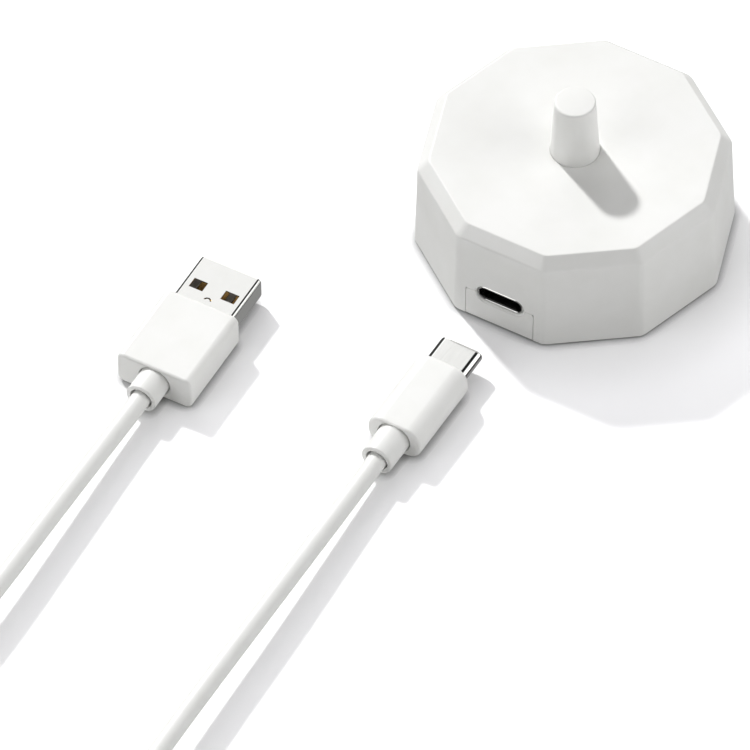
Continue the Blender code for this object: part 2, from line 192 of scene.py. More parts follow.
def evenNormals(obj):  # big flats keep flat shading next to small fillets
    step = obj.modifiers.new("evenNormals", "WEIGHTED_NORMAL")
    step.keep_sharp = True
    step.weight = 80
    return obj


def carve(obj, *cutters):  # cuts each cutter out of the piece and removes it
    for cutter in cutters:
        step = obj.modifiers.new("carve", "BOOLEAN")
        step.object = cutter
        step.solver = "EXACT"
    bpy.context.view_layer.update()
    graph = bpy.context.evaluated_depsgraph_get()
    data = bpy.data.meshes.new_from_object(obj.evaluated_get(graph))
    obj.modifiers.clear()
    obj.data = data
    for cutter in cutters:
        bpy.data.objects.remove(cutter)
    data.shade_smooth()
    data.set_sharp_from_angle(angle=math.radians(35.0))
    return obj


def cuboid(name, low, high, place=None, corner=0.0):
    outline = roundedOutline(high[0] - low[0], high[1] - low[1], max(corner, 0.002), 4)
    cx, cy = (low[0] + high[0]) / 2, (low[1] + high[1]) / 2
    rings = [[(x + cx, y + cy, z) for x, y in outline] for z in (low[2], high[2])]
    return loft(name, rings, place=place)


def centreOf(node):
    low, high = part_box(node)
    return (low + high) / 2


# cable: one length from plug to plug, with the spare part of it coiled and tied
cable = {
    "radius": 1.75,
    "length": 1.0,            # m, plug to plug
    "coilTurns": 5.5,
    "pointsPerTurn": 20,
    "outerTurn": 22.6,        # radius of the outer and the inner turns
    "innerTurn": 19.0,
    "layer": 3.5,             # each layer of turns lies one thickness up
    "changes": [0.87, 1.78, 2.69, 3.60, 4.53],  # turns at which it moves to the next place in the coil
    "changeTakes": 0.12,      # turns that such a move takes
    "leavesAt": 5.2,          # turn from which it swings out to meet the straight run
    "leavesBy": 2.0,          # and by how much
    "tieLift": 1.0,           # the strap passes under the coil and lifts it this much,
    "tieReach": 40.0,         # over these degrees on each side
}
insideA = [(-44.74, -67.6, 3.5), (-44.66, -69.0, 3.5)]
runA = [
    (-44.61, -70.2, 3.5), (-44.50, -77.0, 3.52), (-44.40, -86.0, 3.75), (-44.28, -96.0, 4.1),
    (-44.10, -108.0, 4.45), (-43.85, -122.0, 4.75), (-44.05, -140.0, 5.0), (-45.1, -160.0, 5.2),
    (-45.8, -177.7, 5.25),
]
runC = [
    (-1.99, -61.8, 3.4), (-1.93, -68.0, 3.42), (-1.83, -76.0, 3.62), (-1.73, -86.0, 3.95),
    (-1.64, -96.0, 4.3), (-1.56, -108.0, 4.6), (-1.50, -122.0, 4.85), (-1.20, -140.0, 5.3),
    (-0.15, -160.0, 6.6), (0.95, -175.0, 7.9), (1.25, -181.6, 8.4),
]
coilMiddle = (-23.3, -191.0)


def coilRoute(c):
    out, inn, h = c["outerTurn"], c["innerTurn"], c["layer"]
    low, middle, high = 0.5 * h, 1.5 * h, 2.5 * h
    places = [(out, middle), (out, low), (inn, low), (inn, middle), (inn, high), (out, high)]
    points = []
    count = round(c["coilTurns"] * c["pointsPerTurn"])
    for i in range(count + 1):
        u = i / c["pointsPerTurn"]
        r, z = places[0]
        for k, at in enumerate(c["changes"]):
            t = min(1.0, max(0.0, (u - at) / c["changeTakes"] + 0.5))
            t = t * t * (3 - 2 * t)
            r += (places[k + 1][0] - places[k][0]) * t
            z += (places[k + 1][1] - places[k][1]) * t
        leaving = max(0.0, (u - c["leavesAt"]) / (c["coilTurns"] - c["leavesAt"]))
        r += c["leavesBy"] * leaving * leaving * (3 - 2 * leaving)
        turnAngle = math.pi + 2 * math.pi * u
        offTie = abs((math.degrees(turnAngle) - 270 + 180) % 360 - 180)
        if offTie < c["tieReach"]:
            z += c["tieLift"] * (0.5 + 0.5 * math.cos(math.pi * offTie / c["tieReach"]))
        x = coilMiddle[0] + r * math.cos(turnAngle)
        y = coilMiddle[1] + r * math.sin(turnAngle)
        points.append((x, y, z))
    return points


cableRoute = insideA + runA + coilRoute(cable) + runC[::-1] + [(-2.02, -60.6, 3.4)]


def makeCable(c, route):
    data = bpy.data.curves.new("cable", "CURVE")
    data.dimensions = "3D"
    line = data.splines.new("BEZIER")
    line.bezier_points.add(len(route) - 1)
    for spot, p in zip(line.bezier_points, route):
        spot.co = [x * mm for x in p]
        spot.handle_left_type = spot.handle_right_type = "AUTO"
        spot.radius = c["radius"] * mm
    line.resolution_u = 4
    data.bevel_depth = 1.0  # the points' own radius sets the thickness
    data.bevel_resolution = 7
    data.use_fill_caps = True
    obj = bpy.data.objects.new("cable", data)
    scene.collection.objects.link(obj)
    return obj


cableObj = makeCable(cable, cableRoute)
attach(cableObj, "root")
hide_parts("cable_run_a", "cable_run_c", "cable_coil")
print("cable routed:", len(cableRoute), "points")


# cable tie: a woven strap round the coil, with its loose end laid back over it
tie = {
    "thick": 0.8,
    "bend": 1.6,          # corners of the loop
    "edge": 0.15,         # rounding of the strap's long edges
    "tailThick": 0.6,
    "tailInset": 0.2,     # the tail is a little narrower than the loop
    "tailTip": 0.6,       # and narrows again at its tip
}


def makeTie(t):
    low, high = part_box("cable_tie")
    midX, halfX = (low.x + high.x) / 2 / mm, (high.x - low.x) / 2 / mm
    midY, halfY = (low.y + high.y) / 2 / mm, (high.y - low.y) / 2 / mm
    top, thick, edge = high.z / mm, t["thick"], t["edge"]
    section = [
        (-halfX + edge, 0), (halfX - edge, 0), (halfX, edge), (halfX, thick - edge),
        (halfX - edge, thick), (-halfX + edge, thick), (-halfX, thick - edge), (-halfX, edge),
    ]
    rings = []
    for x, inset in section:
        band = roundedOutline(2 * (halfY - inset), top - 2 * inset, t["bend"] - inset, 8)
        rings.append([(midX + x, midY + y, top / 2 + z) for y, z in band])
    strap = loft("cableTie", rings, closed=True)
    # the tail lies on the loop and lifts towards its tip
    tailLine = [(-halfY + 1.0, top + 0.05), (-1.5, top + 0.12), (1.0, top + 0.35), (halfY + 1.0, top + 0.9)]
    tailRings = []
    for y, z in tailLine:
        w = halfX - t["tailInset"] - (t["tailTip"] if y > halfY else 0.0)
        corners = ((-w, 0.0), (w, 0.0), (w, t["tailThick"]), (-w, t["tailThick"]))
        tailRings.append([(midX + x, midY + y, z + dz) for x, dz in corners])
    return strap, loft("cableTieTail", tailRings)


tieStrap, tieTail = makeTie(tie)
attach(tieStrap, "root")
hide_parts("cable_tie")
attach(tieTail, "root")
print("tie made")


# base
base = {
    "sides": 10,
    "footR": 28.4,        # across-corner radius at the rim
    "wallTopR": 27.75,
    "deckR": 25.7,
    "rimZ": 0.35,
    "wallTopZ": 18.75,
    "deckZ": 20.9,
    "dish": 0.38,         # the deck falls this much towards the post
    "dishRings": [(19.0, 0.12), (15.0, 0.19), (11.0, 0.26), (8.0, 0.32), (6.0, 0.36)],
    "cornerR": 2.4,       # rounding of the upright edges
    "deckEdge": 0.5,      # rounding between deck and chamfer
    "wallEdge": 0.9,      # rounding between chamfer and wall
    "holeR": 4.4,
    "wall": 1.8,
    "cornerSteps": 8,
    "flatSteps": 12,      # points along each flat, so that the round hole stays round
}
port = {
    "mouth": (9.3, 3.56),     # width and height of the opening round the socket
    "flare": 0.6,             # how much wider it is at the face
    "flareDeep": 0.24,
    "innerY": -22.0,          # how far in the cuts for it go
    "tabW": 13.4,             # the cover's tab that closes the wall below the socket
    "tabGap": 0.1,
    "tabFlare": 0.42,         # the tab's top corners are drawn in by this
}


def turned(x, y, a):
    return x * math.cos(a) - y * math.sin(a), x * math.sin(a) + y * math.cos(a)


def decagon(r, fillet, b=base):
    half = math.pi / b["sides"]
    points = []
    for k in range(b["sides"]):
        corner = half + 2 * math.pi * k / b["sides"] - math.pi / 2  # a flat faces -Y
        inset = fillet / math.cos(half)
        cx, cy = (r - inset) * math.cos(corner), (r - inset) * math.sin(corner)
        for i in range(b["cornerSteps"] + 1):
            a = corner - half + 2 * half * i / b["cornerSteps"]
            points.append((cx + fillet * math.cos(a), cy + fillet * math.sin(a)))
        nextX, nextY = turned(*points[-b["cornerSteps"] - 1], 2 * half)
        x, y = points[-1]
        for i in range(1, b["flatSteps"]):
            t = i / b["flatSteps"]
            points.append((x + (nextX - x) * t, y + (nextY - y) * t))
    return points


def circleLike(r, outline):
    return [(r * math.cos(math.atan2(y, x)), r * math.sin(math.atan2(y, x))) for x, y in outline]


def lift(outline, z):
    return [(x, y, z) for x, y in outline]


def wallFace(z, b=base):
    share = (z - b["rimZ"]) / (b["wallTopZ"] - b["rimZ"])
    return (b["footR"] + (b["wallTopR"] - b["footR"]) * share) * math.cos(math.pi / b["sides"])


socketZ = centreOf("usb_c_socket_shell").z / mm


def portCutter(p):
    w, h = p["mouth"]
    mouth = roundedOutline(w, h, h / 2, 12)
    wide = roundedOutline(w + p["flare"], h + p["flare"], (h + p["flare"]) / 2, 12)
    front = -wallFace(socketZ)
    return loft("portCutter", ringsAlongY([
        (front - 1.0, wide), (front - 0.02, wide), (front + p["flareDeep"], mouth), (p["innerY"], mouth),
    ], socketZ))


def makeHousing(b, p):
    outer = roundProfile([
        (b["footR"] - 1.0, b["rimZ"], 0), (b["footR"], b["rimZ"], 0.25),
        (b["wallTopR"], b["wallTopZ"], b["wallEdge"]), (b["deckR"], b["deckZ"], b["deckEdge"]),
        (b["deckR"] - 3.0, b["deckZ"] - 0.05, 0),
    ])
    rings = [lift(decagon(r, b["cornerR"]), z) for r, z in outer]
    ray = decagon(b["deckR"], b["cornerR"])
    for r, drop in b["dishRings"]:
        rings.append(lift(circleLike(r, ray), b["deckZ"] - drop))
    lastR, lastDrop = b["dishRings"][-1]
    brink = roundProfile([
        (lastR, b["deckZ"] - lastDrop, 0), (b["holeR"], b["deckZ"] - b["dish"], 0.08), (b["holeR"], 18.8, 0),
    ], 4)
    for r, z in brink[1:]:
        rings.append(lift(circleLike(r, ray), z))
    inner = b["wall"] / math.cos(math.pi / b["sides"])
    rings.append(lift(decagon(b["deckR"] - 1.2, 1.2), 19.0))
    rings.append(lift(decagon(b["wallTopR"] - inner, 1.2), b["wallTopZ"] - 0.9))
    rings.append(lift(decagon(b["footR"] - inner, 1.2), b["rimZ"] + 0.2))
    shell = loft("baseHousing", rings, closed=True)
    halfNotch = p["tabW"] / 2 + p["tabGap"]
    notch = cuboid("notch", (-halfNotch, -30, -1), (halfNotch, p["innerY"], socketZ), corner=0.25)
    carve(shell, notch, portCutter(p))
    return evenNormals(shell)


def makeCover(b, p):
    plate = decagon(b["footR"] - b["wall"] / math.cos(math.pi / b["sides"]) - 0.32, 1.2)
    cover = loft("baseCover", [lift(plate, 0.45), lift(plate, 2.1)])
    rings = []
    low = b["rimZ"]
    for z, inset in ((low + 0.05, 0.1), (low + 0.25, 0.0), (6.3, 0.0), (6.62, 0.1), (6.82, p["tabFlare"])):
        outerY = -wallFace(z) + (0.15 if z < 0.5 else 0.0)
        innerY = outerY + b["wall"]
        half = p["tabW"] / 2 - inset
        rings.append([(-half, outerY, z), (half, outerY, z), (half, innerY, z), (-half, innerY, z)])
    tab = loft("tab", rings)
    rootY = -wallFace(1.0)
    root = cuboid("tabRoot", (-6.2, rootY + 0.5, 0.6), (6.2, rootY + 3.2, 2.0))
    for part in (tab, root):
        step = cover.modifiers.new("join", "BOOLEAN")
        step.object, step.operation, step.solver = part, "UNION", "EXACT"
    cutters = [portCutter(p)]
    footBed = [(0, -1), (5.3, -1), (5.3, 1.3), (0, 1.3)]
    screwBed = [(0, -1), (2.6, -1), (2.6, 0.5), (2.35, 0.7), (2.35, 1.9), (0, 1.9)]
    for n in (1, 2, 3):
        foot, screw = centreOf(f"rubber_foot_{n}"), centreOf(f"housing_screw_{n}")
        foot.z = screw.z = 0.0
        cutters.append(turn("footBed", footBed, place=Matrix.Translation(foot)))
        cutters.append(turn("screwBed", screwBed, place=Matrix.Translation(screw)))
    carve(cover, *cutters)
    for part in (tab, root):
        bpy.data.objects.remove(part)
    return evenNormals(cover)


housing = makeHousing(base, port)
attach(housing, "root")
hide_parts("top_housing")
cover = makeCover(base, port)
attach(cover, "root")
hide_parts("bottom_cover")
print("base housing and cover made")


# post: a hollow cap that goes up through the deck from inside
post = {
    "r": 4.35,            # at the deck
    "topR": 3.65,
    "top": 32.9,
    "edge": 0.42,
    "shoulder": [(20.4, 0), (17.6, 0)],   # straight below the deck
    "inside": [(7.2, 17.6), (7.2, 16.4), (3.3, 16.4), (2.6, 31.6), (2.3, 31.9), (0.0, 31.9)],
}


def makePost(p):
    outer = [(0.0, p["top"], 0), (p["topR"], p["top"], p["edge"])]
    outer += [(p["r"], z, bend) for z, bend in p["shoulder"]]
    return evenNormals(turn("chargingPost", roundProfile(outer, 7) + p["inside"], 96))


postObj = makePost(post)
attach(postObj, "root")
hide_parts("charging_post")
print("post made")


# USB-C socket: a drawn steel shell with a rolled lip
socketSizes = {
    "outside": (8.94, 3.2, 1.59),     # width, height and corner radius
    "lip": (8.80, 3.06, 1.52),
    "lipInside": (8.62, 2.88, 1.43),
    "inside": (8.50, 2.76, 1.37),
    "lipDeep": 0.08,
    "backWall": 0.25,
}


def makeSocket(s):
    low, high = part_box("usb_c_socket_shell")
    front, back, z = low.y / mm, high.y / mm, (low.z + high.z) / 2 / mm
    sections = [
        (back, "outside"), (front + s["lipDeep"], "outside"), (front, "lip"),
        (front, "lipInside"), (front + s["lipDeep"], "inside"), (back - s["backWall"], "inside"),
    ]
    return loft("socketShell", ringsAlongY([(y, roundedOutline(*s[which], 14)) for y, which in sections], z))


socket = makeSocket(socketSizes)
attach(socket, "root")
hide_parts("usb_c_socket_shell")
print("socket made")


# plugs: each is drawn about its own axis, with the tip towards +Y
def plugPlace(tipNode, tailNode, gripNode, gripLength):
    tip, tail, grip = centreOf(tipNode), centreOf(tailNode), centreOf(gripNode)
    along = tip - tail
    turnZ = math.atan2(-along.x, along.y)
    root = grip + Vector((-math.sin(turnZ), math.cos(turnZ), 0.0)) * gripLength / 2 * mm
    return Matrix.Translation(root) @ Matrix.Rotation(turnZ, 4, "Z")


# lengths run from the grip's front face: the tip lies ahead of it, the collar's end behind it
plugA = {
    "shell": (12.0, 4.5), "shellR": 0.7, "tip": 10.25, "wall": 0.3, "shellBack": -7.4,
    "grip": (14.8, 7.0), "gripR": 1.35, "gripLength": 17.2, "frontEdge": 0.6, "rearEdge": 0.5,
    "pocket": (12.3, 4.8), "pocketR": 0.7, "pocketDeep": 7.7,     # where the shell goes in
    "throatR": 3.08, "throatDeep": 3.2,                           # where the collar goes in
    "collarR": 2.9, "collarStart": -14.3, "collarEnd": 21.8, "bore": 2.1,
    "windows": ((-4.5, -1.8), (1.8, 4.5)), "windowY": (3.05, 5.2),
    "moonR": (0.78, 0.48), "moonY": 1.55, "seam": 0.12,
}
plugC = {
    "shell": (8.25, 2.4), "shellR": 1.19, "tip": 5.9, "wall": 0.25, "shellBack": -6.4,
    "grip": (10.5, 6.8), "gripR": 2.95, "gripLength": 17.5, "frontEdge": 1.5, "rearEdge": 0.5,
    "pocket": (8.55, 2.7), "pocketR": 1.3, "pocketDeep": 6.7,
    "throatR": 3.18, "throatDeep": 3.2,
    "collarR": 3.0, "collarStart": -14.6, "collarEnd": 23.4, "bore": 2.1,
}
placeA = plugPlace("usb_a_shell", "usb_a_strain_relief", "usb_a_overmould", plugA["gripLength"])
placeC = plugPlace("usb_c_plug_shell", "usb_c_strain_relief", "usb_c_overmould", plugC["gripLength"])


def makeShell(name, p, steps, place, closed):  # closed: a tube; else it has a back wall
    w, h = p["shell"]
    back, lip, wall, r = p["shellBack"], 0.04, p["wall"], p["shellR"]

    def section(inset):
        return roundedOutline(w - 2 * inset, h - 2 * inset, max(r - inset, 0.15), steps)

    sections = [
        (back, section(0)), (p["tip"] - 0.35, section(0)), (p["tip"] - 0.1, section(0.03)),
        (p["tip"], section(lip)), (p["tip"], section(wall - 0.06)), (p["tip"] - 0.12, section(wall)),
        (back + (0.0 if closed else 0.3), section(wall)),
    ]
    return loft(name, ringsAlongY(sections), closed=closed, place=place, sharpAngle=40)


def makeGrip(name, p, place):
    w, h = p["grip"]
    pocketW, pocketH = p["pocket"]
    pocket = roundedOutline(pocketW, pocketH, p["pocketR"], 8)
    sections = [(-p["pocketDeep"], pocket), (-0.12, pocket)]
    sections.append((0.0, roundedOutline(pocketW + 0.2, pocketH + 0.2, p["pocketR"] + 0.1, 8)))
    for edge, start, way in ((p["frontEdge"], 0.0, -1), (p["rearEdge"], -p["gripLength"], 1)):
        for i in range(9)[::-way]:
            a = math.radians(90 * i / 8)
            inset = edge * (1 - math.sin(a))
            outline = roundedOutline(w - 2 * inset, h - 2 * inset, p["gripR"] - inset * 0.6, 8)
            sections.append((start + way * edge * (1 - math.cos(a)), outline))
    back, r = -p["gripLength"], p["throatR"]
    throat = roundedOutline(2 * r, 2 * r, r, 8)
    sections.append((back, roundedOutline(2 * r + 0.3, 2 * r + 0.3, r + 0.15, 8)))
    sections += [(back + 0.15, throat), (back + p["throatDeep"], throat)]
    return evenNormals(loft(name, ringsAlongY(sections), place=place, sharpAngle=40))


def makeCollar(name, p, place):
    start, end, r, bore = p["collarStart"], -p["collarEnd"], p["collarR"], p["bore"]
    floor = end + 4.2  # the bore that the cable goes into is this deep
    profile = roundProfile([
        (0.0, start, 0), (r, start, 0), (r, end, 0.22), (bore, end, 0.12), (bore, floor, 0), (0.0, floor, 0),
    ], 5)
    return evenNormals(turn(name, profile, 64, place, alongY=True))


def makeMoon(p, place):  # the half-moon slot stamped between the windows
    outer, inner = p["moonR"]
    angles = [math.radians(12 + 13 * i) for i in range(13)]
    points = [(outer * math.cos(a), p["moonY"] + outer * math.sin(a)) for a in angles]
    points += [(inner * math.cos(a), p["moonY"] + inner * math.sin(a)) for a in angles[::-1]]
    return loft("moon", [lift(points, 1.6), lift(points, 2.7)], place=place)


shellA = makeShell("usbShellA", plugA, 8, placeA, True)
cutters = []
for x0, x1 in plugA["windows"]:
    y0, y1 = plugA["windowY"]
    cutters.append(cuboid("window", (x0, y0, -4), (x1, y1, 4), placeA, 0.08))
cutters.append(makeMoon(plugA, placeA))
halfSeam = plugA["seam"] / 2  # the joint of the rolled sheet runs along the underside
cutters.append(cuboid("seam", (-halfSeam, -9.0, -4.0), (halfSeam, 12.0, -1.0), placeA))
carve(shellA, *cutters)
evenNormals(shellA)
gripA = makeGrip("usbGripA", plugA, placeA)
collarA = makeCollar("usbCollarA", plugA, placeA)
shellC = evenNormals(makeShell("usbShellC", plugC, 16, placeC, False))
gripC = makeGrip("usbGripC", plugC, placeC)
collarC = makeCollar("usbCollarC", plugC, placeC)
standIns = (
    (shellA, "usb_a_shell"), (gripA, "usb_a_overmould"), (collarA, "usb_a_strain_relief"),
    (shellC, "usb_c_plug_shell"), (gripC, "usb_c_overmould"), (collarC, "usb_c_strain_relief"),
)
for piece, node in standIns:
    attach(piece, "root")
    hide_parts(node)
print("plugs made")


# materials
def linear(hexColour):
    parts = [int(hexColour[i:i + 2], 16) / 255 for i in (1, 3, 5)]
    return (*[c / 12.92 if c <= 0.04045 else ((c + 0.055) / 1.055) ** 2.4 for c in parts], 1.0)


def addNode(tree, kind, values=None, links=None, **settings):
    made = tree.nodes.new("ShaderNode" + kind)
    for name, value in settings.items():
        setattr(made, name, value)
    for socket, value in (values or {}).items():
        made.inputs[socket].default_value = value
    for socket, source in (links or {}).items():
        tree.links.new(source, made.inputs[socket])
    return made


def startMaterial(name, look):
    made = bpy.data.materials.new(name)
    made.use_nodes = True
    tree = made.node_tree
    shader = tree.nodes["Principled BSDF"]
    shader.inputs["Metallic"].default_value = look.get("metallic", 0.0)
    shader.inputs["IOR"].default_value = look.get("ior", 1.5)
    shader.inputs["Sheen Weight"].default_value = look.get("sheen", 0.0)
    where = addNode(tree, "TexCoord").outputs["Object"]
    return made, tree, shader, where


def perMm(size):
    return 1.0 / (size * mm)


def mouldedPlastic(name, look):  # a broad, faint drift of colour and gloss over a fine grain
    made, tree, shader, where = startMaterial(name, look)
    cloud = addNode(tree, "TexNoise", {"Scale": perMm(look["cloudMm"]), "Detail": 3.0, "Roughness": 0.5},
                    {"Vector": where})
    share = addNode(tree, "MapRange", {"From Min": 0.35, "From Max": 0.75}, {"Value": cloud.outputs["Fac"]})
    tint = addNode(tree, "MixRGB", {"Color1": linear(look["colour"]), "Color2": linear(look["deep"])},
                   {"Fac": share.outputs[0]})
    tree.links.new(tint.outputs["Color"], shader.inputs["Base Color"])
    grain = addNode(tree, "TexNoise", {"Scale": perMm(look["grainMm"]), "Detail": 4.0, "Roughness": 0.6},
                    {"Vector": where})
    low, high = look["rough"]
    rough = addNode(tree, "MapRange", {"From Min": 0.3, "From Max": 0.7, "To Min": low, "To Max": high},
                    {"Value": cloud.outputs["Fac"]})
    tree.links.new(rough.outputs[0], shader.inputs["Roughness"])
    bump = addNode(tree, "Bump", {"Strength": look["bump"], "Distance": look["bumpMm"] * mm},
                   {"Height": grain.outputs["Fac"]})
    tree.links.new(bump.outputs["Normal"], shader.inputs["Normal"])
    return made


def rolledMetal(name, look):  # lines along the sheet's length, 30 times as long as they are wide
    made, tree, shader, where = startMaterial(name, look)
    across = perMm(look["lineMm"])
    long = addNode(tree, "Mapping", {"Scale": (across, across / 30, across)}, {"Vector": where})
    lines = addNode(tree, "TexNoise", {"Scale": 1.0, "Detail": 3.0}, {"Vector": long.outputs[0]})
    spots = addNode(tree, "TexNoise", {"Scale": perMm(look["cloudMm"]), "Detail": 2.0}, {"Vector": where})
    tint = addNode(tree, "MixRGB", {"Color1": linear(look["colour"]), "Color2": linear(look["deep"])},
                   {"Fac": spots.outputs["Fac"]})
    tree.links.new(tint.outputs["Color"], shader.inputs["Base Color"])
    low, high = look["rough"]
    rough = addNode(tree, "MapRange", {"From Min": 0.3, "From Max": 0.7, "To Min": low, "To Max": high},
                    {"Value": lines.outputs["Fac"]})
    tree.links.new(rough.outputs[0], shader.inputs["Roughness"])
    bump = addNode(tree, "Bump", {"Strength": look["bump"], "Distance": look["bumpMm"] * mm},
                   {"Height": lines.outputs["Fac"]})
    tree.links.new(bump.outputs["Normal"], shader.inputs["Normal"])
    return made


def threadedFinish(name, look):  # bands a wire or a thread apart; two sets crossed make a weave
    made, tree, shader, where = startMaterial(name, look)
    waves = []
    for way in look["ways"]:
        waves.append(addNode(
            tree, "TexWave", {"Scale": perMm(look["threadMm"]) / 6.28, **look["wave"]}, {"Vector": where},
            wave_type="BANDS", bands_direction=way).outputs["Fac"])
    height = waves[0]
    if len(waves) == 2:
        height = addNode(tree, "Math", links={0: waves[0], 1: waves[1]}, operation="MULTIPLY").outputs[0]
    # painted shade: the dips between wires or threads take the darker deep colour
    tint = addNode(tree, "MixRGB", {"Color1": linear(look["deep"]), "Color2": linear(look["colour"])},
                   {"Fac": height})
    tree.links.new(tint.outputs["Color"], shader.inputs["Base Color"])
    shader.inputs["Roughness"].default_value = look["rough"]
    bump = addNode(tree, "Bump", {"Strength": look["bump"], "Distance": look["bumpMm"] * mm},
                   {"Height": height})
    tree.links.new(bump.outputs["Normal"], shader.inputs["Normal"])
    return made


looks = {
    # moulded ABS with a fine spark-eroded grain: an even, satin white that never shines hard
    "housingAbs": (mouldedPlastic, {
        "colour": "#ECECEA", "deep": "#E7E7E4", "rough": (0.40, 0.50), "ior": 1.54,
        "cloudMm": 9.0, "grainMm": 0.22, "bump": 0.10, "bumpMm": 0.03}),
    # the same ABS from a smoother mould, so the grip shows a broad soft sheen
    "plugAbs": (mouldedPlastic, {
        "colour": "#F0F0EE", "deep": "#ECECE9", "rough": (0.28, 0.36), "ior": 1.54,
        "cloudMm": 6.0, "grainMm": 0.15, "bump": 0.05, "bumpMm": 0.02}),
    # extruded thermoplastic elastomer: smooth, slightly waxy, with faint draw marks
    "jacketTpe": (mouldedPlastic, {
        "colour": "#EDEDEB", "deep": "#E9E9E6", "rough": (0.30, 0.40), "ior": 1.5,
        "cloudMm": 5.0, "grainMm": 0.3, "bump": 0.05, "bumpMm": 0.03}),
    # nickel-plated stamped steel: a near mirror, with faint rolling lines along its length
    "nickelSteel": (rolledMetal, {
        "colour": "#F1F1EF", "deep": "#EBEBE8", "metallic": 1.0, "rough": (0.05, 0.11),
        "lineMm": 0.12, "cloudMm": 2.5, "bump": 0.03, "bumpMm": 0.01}),
    # gold flash on a spring contact
    "goldContact": (rolledMetal, {
        "colour": "#D9B070", "deep": "#BC9152", "metallic": 1.0, "rough": (0.22, 0.32),
        "lineMm": 0.1, "cloudMm": 1.0, "bump": 0.08, "bumpMm": 0.01}),
    # glass-filled liquid crystal polymer: dull, with a slight flow mottle
    "insulatorLcp": (mouldedPlastic, {
        "colour": "#C8C2BA", "deep": "#B4AEA6", "rough": (0.45, 0.6), "ior": 1.6,
        "cloudMm": 0.8, "grainMm": 0.1, "bump": 0.1, "bumpMm": 0.02}),
    # the same polymer in black, as in the dark inside of a socket
    "socketLcp": (mouldedPlastic, {
        "colour": "#141414", "deep": "#0C0C0C", "rough": (0.45, 0.6), "ior": 1.6,
        "cloudMm": 0.8, "grainMm": 0.1, "bump": 0.1, "bumpMm": 0.02}),
    # soft moulded rubber with a dusty surface
    "footRubber": (mouldedPlastic, {
        "colour": "#C4C4C1", "deep": "#B4B4B1", "rough": (0.7, 0.85), "ior": 1.52,
        "cloudMm": 2.0, "grainMm": 0.15, "bump": 0.3, "bumpMm": 0.03}),
    # moulded silicone, matt and slightly slick
    "gasketSilicone": (mouldedPlastic, {
        "colour": "#B9B9B9", "deep": "#A9A9A9", "rough": (0.5, 0.6), "ior": 1.41,
        "cloudMm": 1.5, "grainMm": 0.2, "bump": 0.1, "bumpMm": 0.02}),
    # sintered ferrite: dark grey, dry and slightly gritty
    "ferriteCeramic": (mouldedPlastic, {
        "colour": "#2C2C2E", "deep": "#1D1D1F", "rough": (0.6, 0.8), "ior": 2.2,
        "cloudMm": 1.2, "grainMm": 0.12, "bump": 0.4, "bumpMm": 0.04}),
    # natural nylon, cream and a little translucent in life
    "naturalNylon": (mouldedPlastic, {
        "colour": "#D9D3BC", "deep": "#CDC6AC", "rough": (0.4, 0.5), "ior": 1.53,
        "cloudMm": 3.0, "grainMm": 0.2, "bump": 0.1, "bumpMm": 0.02}),
    # enamelled copper wire wound in layers, with painted shade between the turns
    "enamelledCopper": (threadedFinish, {
        "colour": "#C9743E", "deep": "#8A4A22", "metallic": 1.0, "rough": 0.3,
        "threadMm": 0.35, "ways": ["Z"], "wave": {"Distortion": 0.3}, "bump": 0.6, "bumpMm": 0.1}),
    # solder mask over woven glass epoxy
    "maskedBoard": (mouldedPlastic, {
        "colour": "#1E6B3C", "deep": "#16552F", "rough": (0.3, 0.4), "ior": 1.55,
        "cloudMm": 1.0, "grainMm": 0.4, "bump": 0.15, "bumpMm": 0.02}),
    # moulded epoxy packages
    "chipEpoxy": (mouldedPlastic, {
        "colour": "#1B1B1C", "deep": "#121213", "rough": (0.5, 0.65), "ior": 1.55,
        "cloudMm": 1.0, "grainMm": 0.12, "bump": 0.2, "bumpMm": 0.02}),
    # woven nylon tape: threads crossing on the slant, dull, with a little sheen, and painted shade between
    # the threads
    "strapNylon": (threadedFinish, {
        "colour": "#E6E6E2", "deep": "#BFBFBA", "rough": 0.75, "ior": 1.53, "sheen": 0.3,
        "threadMm": 0.45, "ways": ["X", "DIAGONAL"], "wave": {"Distortion": 0.6, "Detail": 1.0},
        "bump": 0.6, "bumpMm": 0.15}),
}
finishes = {name: build(name, look) for name, (build, look) in looks.items()}


def dress(obj, finish):
    obj.data.materials.clear()
    obj.data.materials.append(finishes[finish])


for finish, slot, pieces in (
    ("housingAbs", "housing", (housing, cover, postObj)),
    ("nickelSteel", "plated_steel", (socket, shellA, shellC)),
    ("plugAbs", "plug_overmould", (gripA, gripC)),
    ("jacketTpe", "cable_jacket", (collarA, collarC, cableObj)),
    ("strapNylon", "tie_strap", (tieStrap, tieTail)),
):
    for piece in pieces:
        dress(piece, finish)
slotFinish = {
    "housing": "housingAbs", "gasket": "gasketSilicone",
    "ferrite": "ferriteCeramic", "former": "naturalNylon",
    "copper": "enamelledCopper", "board": "maskedBoard", "black_plastic": "chipEpoxy",
    "plated_steel": "nickelSteel", "foot_rubber": "footRubber",
    "plug_insulator": "insulatorLcp", "contact_gold": "goldContact",
    "plug_overmould": "plugAbs", "cable_jacket": "jacketTpe", "tie_strap": "strapNylon",
}
for part in frame["record"]["subparts"]:
    if not nodes[part["node"]].hide_render:
        dress(nodes[part["node"]], slotFinish[part["material_slot"]])
dress(nodes["usb_c_socket_tongue"], "socketLcp")
dress(nodes["usb_c_plug_core"], "socketLcp")
print("materials made:", len(finishes))


